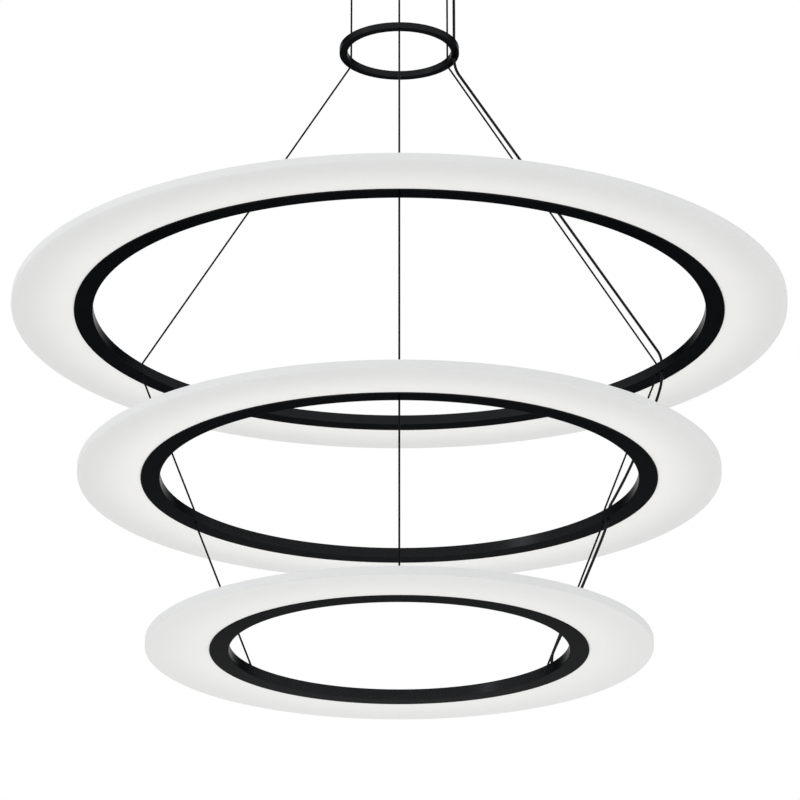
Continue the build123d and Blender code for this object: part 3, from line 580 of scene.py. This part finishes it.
cordStops = [  # where the cord's stretches begin, meet and end
    polar(hanging["radius"], hanging["cordAngle"], cordShape["top"]),
    polar(hanging["radius"], hanging["cordAngle"], hanging["split"]),
    *(cordPoint(tier, tiers["underside"][tier] + cordShape["meet"]) for tier in range(tierCount)),
]
cordMouths = [  # the heights at which each stretch leaves one piece and enters the next
    (hanging["canopyUnderside"], hanging["spreaderUnderside"] + hanging["spreaderHeight"]),
    (hanging["spreaderUnderside"], lidTop(0)),
    (tiers["underside"][0], lidTop(1)),
    (tiers["underside"][1], lidTop(2)),
]

for number, (runName, run) in enumerate(cordRuns.items()):
    start, end = cordStops[number], cordStops[number + 1]
    leaves, enters = cordMouths[number]
    points = [start]
    for across, down in run["route"]:
        place = start.lerp(end, across)
        place.z = leaves + (enters - leaves) * down
        points.append(place)
    points = withEdgePoints([*points, end], run["edges"], cordShape["edge"])
    layStretch(runName + "_cord_run", points, {**cordShape, **stretches[runName], **run, "node": runName + "_cord"})

leadShape = {
    "sides": 18, "slot": "lead_jacket", "body": "ceiling", "node": "driver_leads",
    "stiffness": "medium", "lay": "loose",
}
gland = polar(hanging["radius"], hanging["cordAngle"]) / mm  # where the output lead goes down to the power cord
leadRuns = {  # points in millimetres
    "mains_lead": {
        "diameter": 0.003, "length": 0.0561,
        "points": ((-12, 37, -9), (-12, 21, -11), (-30, 2, -14), (-30, -13, -14)),
    },
    "output_lead": {
        "diameter": 0.0036, "length": 0.0804,
        "points": (
            (30, -13, -14), (30, 3, -14), (43, gland.y, -14), (gland.x - 12, gland.y, -14),
            (gland.x, gland.y, -28), (gland.x, gland.y, -45),
        ),
    },
}
for leadName, run in leadRuns.items():
    layStretch(leadName, [Vector(point) * mm for point in run["points"]], {**leadShape, **run})
print("cables and cords laid")

# Turned pieces and the holes in them. Steps, sides and segments say how finely they are made.
turning = {"ringSteps": 240, "roundSegments": 5, "plugSteps": 40, "boreSides": 32, "weld": 0.0005 * mm}
passages = {"cable": 1.6 * mm, "cord": 2.2 * mm, "flare": 0.9 * mm}  # radii, and how far a mouth opens out
past = 1.0 * mm  # how far a cutter stands out of what it cuts


# A section in the XZ plane, its corners rounded, is spun once round the axis from an angle that keeps
# the edges between facets off the middles of holes.
def turned(section, rounds, steps, start=0.0, closed=True):
    bm = bmesh.new()
    corners = [bm.verts.new((radius, 0, z)) for radius, z in section]
    if closed:
        bm.faces.new(corners)
        for radius in sorted(set(rounds.values())):
            picked = [corners[corner] for corner in rounds if rounds[corner] == radius]
            bmesh.ops.bevel(
                bm, geom=picked, offset=radius, offset_type="OFFSET", segments=turning["roundSegments"],
                profile=0.5, affect="VERTICES", material=-1, clamp_overlap=False,
            )
        bmesh.ops.delete(bm, geom=list(bm.faces), context="FACES_ONLY")
    else:
        for first, second in zip(corners, corners[1:]):
            bm.edges.new((first, second))
    bmesh.ops.rotate(bm, cent=(0, 0, 0), matrix=Matrix.Rotation(math.radians(start), 3, "Z"), verts=bm.verts)
    bmesh.ops.spin(
        bm, geom=list(bm.verts) + list(bm.edges), cent=(0, 0, 0), axis=(0, 0, 1),
        angle=2 * math.pi, steps=steps, use_merge=True,
    )
    bmesh.ops.remove_doubles(bm, verts=bm.verts, dist=turning["weld"])
    bmesh.ops.recalc_face_normals(bm, faces=bm.faces)
    return bm


def holeCutter(bm, section, spot):  # a turned plug at the spot, from (radius, z) points
    plug = turned(section, {}, turning["plugSteps"], closed=False)
    bmesh.ops.translate(plug, vec=spot, verts=plug.verts)
    carried = bpy.data.meshes.new("plug")
    plug.to_mesh(carried)
    plug.free()
    bm.from_mesh(carried)
    bpy.data.meshes.remove(carried)


def straightHole(bm, radius, low, high, spot):
    low, high = low - past, high + past
    holeCutter(bm, [(0, low), (radius, low), (radius, high), (0, high)], spot)


def mouthedHole(bm, radius, low, high, mouth, spot):  # opens out at the end that is the mouth
    flare = passages["flare"]
    wide = radius + flare + past
    if mouth == "top":
        section = [(0, low - past), (radius, low - past), (radius, high - flare), (wide, high + past), (0, high + past)]
    else:
        section = [(0, low - past), (wide, low - past), (radius, low + flare), (radius, high + past), (0, high + past)]
    holeCutter(bm, section, spot)


def sunkHole(bm, radius, head, sink, low, high, spot):  # for a countersunk screw; its cone goes on above the top
    over = sink / 2
    section = [
        (0, low - past), (radius, low - past), (radius, high - sink),
        (head + (head - radius) * over / sink, high + over), (0, high + over),
    ]
    holeCutter(bm, section, spot)


def radialHole(bm, radius, near, far, angle, z):
    near, far = near - past, far + past
    aim = Matrix.Rotation(math.radians(angle), 4, "Z") @ Matrix.Translation(((near + far) / 2, 0, z))
    aim = aim @ Matrix.Rotation(math.radians(90), 4, "Y")
    bmesh.ops.create_cone(
        bm, cap_ends=True, segments=turning["boreSides"], radius1=radius, radius2=radius,
        depth=far - near, matrix=aim,
    )


def cutAway(piece, cutters, sharpAngle=35):
    for bm in cutters:
        mesh = bpy.data.meshes.new("cutter")
        bm.to_mesh(mesh)
        bm.free()
        cutter = bpy.data.objects.new("cutter", mesh)
        scene.collection.objects.link(cutter)
        cut = piece.modifiers.new("cut", "BOOLEAN")
        cut.operation, cut.solver, cut.object = "DIFFERENCE", "EXACT", cutter
        bpy.context.view_layer.update()
        made = bpy.data.meshes.new_from_object(piece.evaluated_get(bpy.context.evaluated_depsgraph_get()))
        piece.modifiers.clear()
        piece.data = made
        bpy.data.objects.remove(cutter)
        bpy.data.meshes.remove(mesh)
    piece.data.shade_smooth()
    piece.data.set_sharp_from_angle(angle=math.radians(sharpAngle))


def steadyShading(piece):
    shading = piece.modifiers.new("steadyShading", "WEIGHTED_NORMAL")
    shading.keep_sharp = True


# The small ring that spreads the cables. Its screw holes end in the cable holes.
spreader = {
    "inner": 0.0667, "outer": 0.0769, "round": 0.5 * mm, "screwHole": 1.53 * mm, "steps": 160, "start": 1.1,
}
low = hanging["spreaderUnderside"]
high = low + hanging["spreaderHeight"]
section = [(spreader["inner"], low), (spreader["outer"], low), (spreader["outer"], high), (spreader["inner"], high)]
rounds = {corner: spreader["round"] for corner in range(len(section))}
bm = turned(section, rounds, spreader["steps"], spreader["start"])
ring = addPiece("spreader_turned", bm, "pendant", "black_aluminium", "spreader_ring")
screwHoles, passageHoles = bmesh.new(), bmesh.new()
for angle in hanging["angles"]:
    near = hanging["radius"] + past
    radialHole(screwHoles, spreader["screwHole"], near, spreader["outer"], angle, (low + high) / 2)
    mouthedHole(passageHoles, passages["cable"], low, high, "bottom", polar(hanging["radius"], angle))
cordSpot = polar(hanging["radius"], hanging["cordAngle"])
mouthedHole(passageHoles, passages["cord"], low, high, "bottom", cordSpot)
cutAway(ring, [screwHoles, passageHoles])
steadyShading(ring)
print("spreader turned")

# The ceiling cup.
canopy = {
    "radius": 0.105, "wall": 1.5 * mm, "floor": 2.0 * mm, "round": 4.0 * mm, "steps": 160, "start": 1.1,
    "gripperHole": 5.15 * mm, "glandHole": 6.15 * mm,
    "screwHole": 2.25 * mm, "screwAngles": (90, 210, 330), "screwHeight": -9 * mm,
}
low, inside = hanging["canopyUnderside"], canopy["radius"] - canopy["wall"]
high = low + canopy["floor"]
section = [(0.0, low), (canopy["radius"], low), (canopy["radius"], 0), (inside, 0), (inside, high), (0.0, high)]
rounds = {1: canopy["round"], 4: canopy["round"] - canopy["wall"]}
bm = turned(section, rounds, canopy["steps"], canopy["start"])
cup = addPiece("canopy_cup", bm, "ceiling", "black_painted", "canopy_shell")
cupHoles = bmesh.new()
for angle in hanging["angles"]:
    straightHole(cupHoles, canopy["gripperHole"], low, high, polar(hanging["radius"], angle))
straightHole(cupHoles, canopy["glandHole"], low, high, cordSpot)
for angle in canopy["screwAngles"]:
    radialHole(cupHoles, canopy["screwHole"], inside, canopy["radius"], angle, canopy["screwHeight"])
cutAway(cup, [cupHoles])
steadyShading(cup)
print("canopy turned")

# Wound springs in the cable grippers.
spring = {
    "radius": 2.85 * mm, "wireRadius": 0.6 * mm, "sides": 10, "top": -57.65 * mm, "bottom": -70.25 * mm,
    "turns": 6.5, "stepsPerTurn": 28, "anchor": -0.057, "keep": 0.784,
}
springSteps = round(spring["turns"] * spring["stepsPerTurn"])
for number, angle in enumerate(hanging["angles"]):
    centre = polar(hanging["radius"], angle)
    place = Matrix.Translation(centre + Vector((spring["radius"], 0, spring["bottom"])))
    place = place @ Matrix.Rotation(math.radians(90), 4, "X")
    bm = bmesh.new()
    bmesh.ops.create_circle(bm, segments=spring["sides"], radius=spring["wireRadius"], matrix=place)
    bmesh.ops.spin(
        bm, geom=list(bm.verts) + list(bm.edges), cent=centre, axis=(0, 0, 1), angle=2 * math.pi * spring["turns"],
        dvec=(0, 0, (spring["top"] - spring["bottom"]) / springSteps), steps=springSteps,
    )
    bmesh.ops.holes_fill(bm, edges=[edge for edge in bm.edges if edge.is_boundary], sides=0)
    bmesh.ops.recalc_face_normals(bm, faces=bm.faces)
    name = f"gripper_spring_{number + 1}"
    coil = addPiece(name + "_coil", bm, "ceiling", "spring_steel", name, sharpAngle=60)
    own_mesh(coil)
print("springs wound")

# A tier's turned pieces, in millimetres: out from the hoop's inner wall, and up from the tier's underside.
hoopShape = {
    "section": (
        (0, 0), (23.4, 0), (23.4, 1.8), (13.6, 1.8), (13.6, 11.6), (12.2, 11.6), (12.2, 1.8), (2, 1.8), (2, 10.6),
        (3, 10.6), (3, 11.6), (2, 11.6), (2, 13.2), (0, 13.2),
    ),
    "rounds": {0: 0.6, 1: 0.3, 13: 0.6},
    "base": 1.8, "wall": 2.0, "screwHole": 1.65,
    "notch": {"out": 3.2, "up": 11.1, "size": (2.4, 14.5, 1.0)},  # lets each anchor past the ledge
}
lidShape = {
    "section": ((2.2, 11.6), (23.4, 11.6), (23.4, 13.2), (2.2, 13.2)),
    "rounds": {2: 0.6},
    "screwInset": 8.6, "screwAside": 4.5, "screwHole": 1.4, "screwHead": 2.4, "sink": 1.2,
}
discShape = {
    "section": (
        (23.6, 1.4), (101.2, 1.4), (101.2, 12.2), (98.9, 12.2), (98.9, 5.1), (96.9, 5.1), (96.9, 3.6), (25.8, 3.6),
        (25.8, 5.1), (18.2, 5.1), (18.2, 1.8), (23.6, 1.8),
    ),
    "rounds": {0: 0.3, 1: 1.4, 2: 1.2},
}
coverShape = {
    "section": (
        (23.6, 12.2), (23.6, 11.5), (18.2, 11.5), (18.2, 9.1), (25.8, 9.1), (25.8, 10.2), (96.6, 10.2), (96.6, 9.1),
        (98.6, 9.1), (98.6, 12.2),
    ),
    "rounds": {0: 0.3, 9: 0.6},
}


def tierPiece(tier, kind, shape, slotName):
    inner, under = tiers["innerRadius"][tier], tiers["underside"][tier]
    section = [(inner + out * mm, under + up * mm) for out, up in shape["section"]]
    rounds = {corner: radius * mm for corner, radius in shape["rounds"].items()}
    bm = turned(section, rounds, turning["ringSteps"], 180 / turning["ringSteps"])
    name = tiers["names"][tier]
    return addPiece(f"{name}_{kind}_turned", bm, name + "_tier", slotName, f"{name}_{kind}")


def pierce(tier, radius, spot, hoopHoles, lidHoles):  # for a cable or the cord, which stop at the bottom hoop
    under = tiers["underside"][tier]
    if tier < tierCount - 1:
        mouthedHole(hoopHoles, radius, under, under + hoopShape["base"] * mm, "bottom", spot)
    mouthedHole(lidHoles, radius, under + tiers["lidUnderside"], lidTop(tier), "top", spot)


def boreTier(tier, hoopHoles, lidHoles):
    inner, under = tiers["innerRadius"][tier], tiers["underside"][tier]
    notch = hoopShape["notch"]
    notchPlace = Matrix.Translation((inner + notch["out"] * mm, 0, under + notch["up"] * mm))
    notchSize = Matrix.Diagonal((*(side * mm for side in notch["size"]), 1))
    hole, head, sink = (lidShape[size] * mm for size in ("screwHole", "screwHead", "sink"))
    for angle in hanging["angles"]:
        turn = Matrix.Rotation(math.radians(angle), 4, "Z")
        middle, wallEnd = under + tiers["height"] / 2, inner + hoopShape["wall"] * mm
        radialHole(hoopHoles, hoopShape["screwHole"] * mm, inner, wallEnd, angle, middle)
        bmesh.ops.create_cube(hoopHoles, size=1, matrix=turn @ notchPlace @ notchSize)
        pierce(tier, passages["cable"], polar(cableRadius(tier), angle), hoopHoles, lidHoles)
        for side in (-1, 1):
            spot = turn @ Vector((inner + lidShape["screwInset"] * mm, side * lidShape["screwAside"] * mm, 0))
            sunkHole(lidHoles, hole, head, sink, under + tiers["lidUnderside"], lidTop(tier), spot)
    pierce(tier, passages["cord"], cordPoint(tier), hoopHoles, lidHoles)


for tier, tierName in enumerate(tiers["names"]):
    hoop = tierPiece(tier, "hoop", hoopShape, "black_aluminium")
    lid = tierPiece(tier, "lid", lidShape, "black_lid")
    hoopHoles, lidHoles = bmesh.new(), bmesh.new()
    boreTier(tier, hoopHoles, lidHoles)
    cutAway(hoop, [hoopHoles])
    cutAway(lid, [lidHoles])
    disc = tierPiece(tier, "diffuser", discShape, "white_diffuser")
    cover = tierPiece(tier, "back_cover", coverShape, "white_cover")
    for piece in (hoop, lid, disc, cover):
        steadyShading(piece)
    print(tierName, "tier turned")

# Pale floor, so far below that a camera under the lamp still stands over it.
floorLook = {
    "radius": 33.0, "z": -9.5, "sides": 96,
    "dark": (0.84, 0.84, 0.835), "light": (0.87, 0.87, 0.865), "clouds": 3.0, "roughness": 0.8, "gloss": 0.1,
}
floorFinish, wire = newFinish("floor_finish")
closeFinish(wire, {
    "Base Color": between(wire, grain(wire, floorLook["clouds"]), floorLook["dark"], floorLook["light"]),
    "Roughness": floorLook["roughness"],
    "Specular IOR Level": floorLook["gloss"],
})
place = Matrix.Translation((0, 0, floorLook["z"]))
bm = bmesh.new()
bmesh.ops.create_circle(bm, cap_ends=True, segments=floorLook["sides"], radius=floorLook["radius"], matrix=place)
floorMesh = bpy.data.meshes.new("floor")
bm.to_mesh(floorMesh)
bm.free()
floorMesh.materials.append(floorFinish)
floorObject = bpy.data.objects.new("floor", floorMesh)
scene.collection.objects.link(floorObject)

# Studio: the camera, gloss and glass see a white background, and a soft light falls on the object.
studio = {
    "background": (1.0, 1.0, 1.0),
    "low": (0.735, 0.755, 0.780), "high": (1.48, 1.48, 1.48),  # the light from below and the sides, and overhead
    "from": 0.5, "to": 0.9,  # sines of the heights between which one turns into the other
}
world = bpy.data.worlds.new("studio")
scene.world = world
world.use_nodes = True
world.node_tree.nodes.clear()
world.cycles.sampling_method = "NONE"
wire = Wire(world.node_tree)
height = wire.node("SeparateXYZ", None, {0: wire.node("TexCoord", out="Generated")}).also(2)
soft = between(wire, eased(height, studio["from"], studio["to"]), studio["low"], studio["high"])
rays = wire.node("LightPath", out="Is Camera Ray")
seen = wire.maths("MAXIMUM", rays, rays.also("Is Glossy Ray"))
seen = wire.maths("MAXIMUM", seen, rays.also("Is Transmission Ray"))
light = wire.node("Mix", {"data_type": "RGBA"}, {0: seen, 6: soft, 7: (*studio["background"], 1)}, out=2)
background = wire.node("Background", None, {"Color": light, "Strength": 1.0})
wire.node("OutputWorld", None, {"Surface": background})

# One soft lamp from the left shades the outer edges.
keyLamp = {"at": (-4.2, -1.9, 1.0), "aim": (0, 0, -0.7), "size": 1.0, "power": 16.0, "colour": (0.94, 0.98, 1.04)}
lampData = bpy.data.lights.new("keyLamp", "AREA")
lampData.shape, lampData.size = "DISK", keyLamp["size"]
lampData.energy, lampData.color = keyLamp["power"], keyLamp["colour"]
lampObject = bpy.data.objects.new("keyLamp", lampData)
lampObject.location = keyLamp["at"]
lampObject.rotation_euler = (Vector(keyLamp["aim"]) - Vector(keyLamp["at"])).to_track_quat("-Z", "Y").to_euler()
scene.collection.objects.link(lampObject)
print("studio lit")
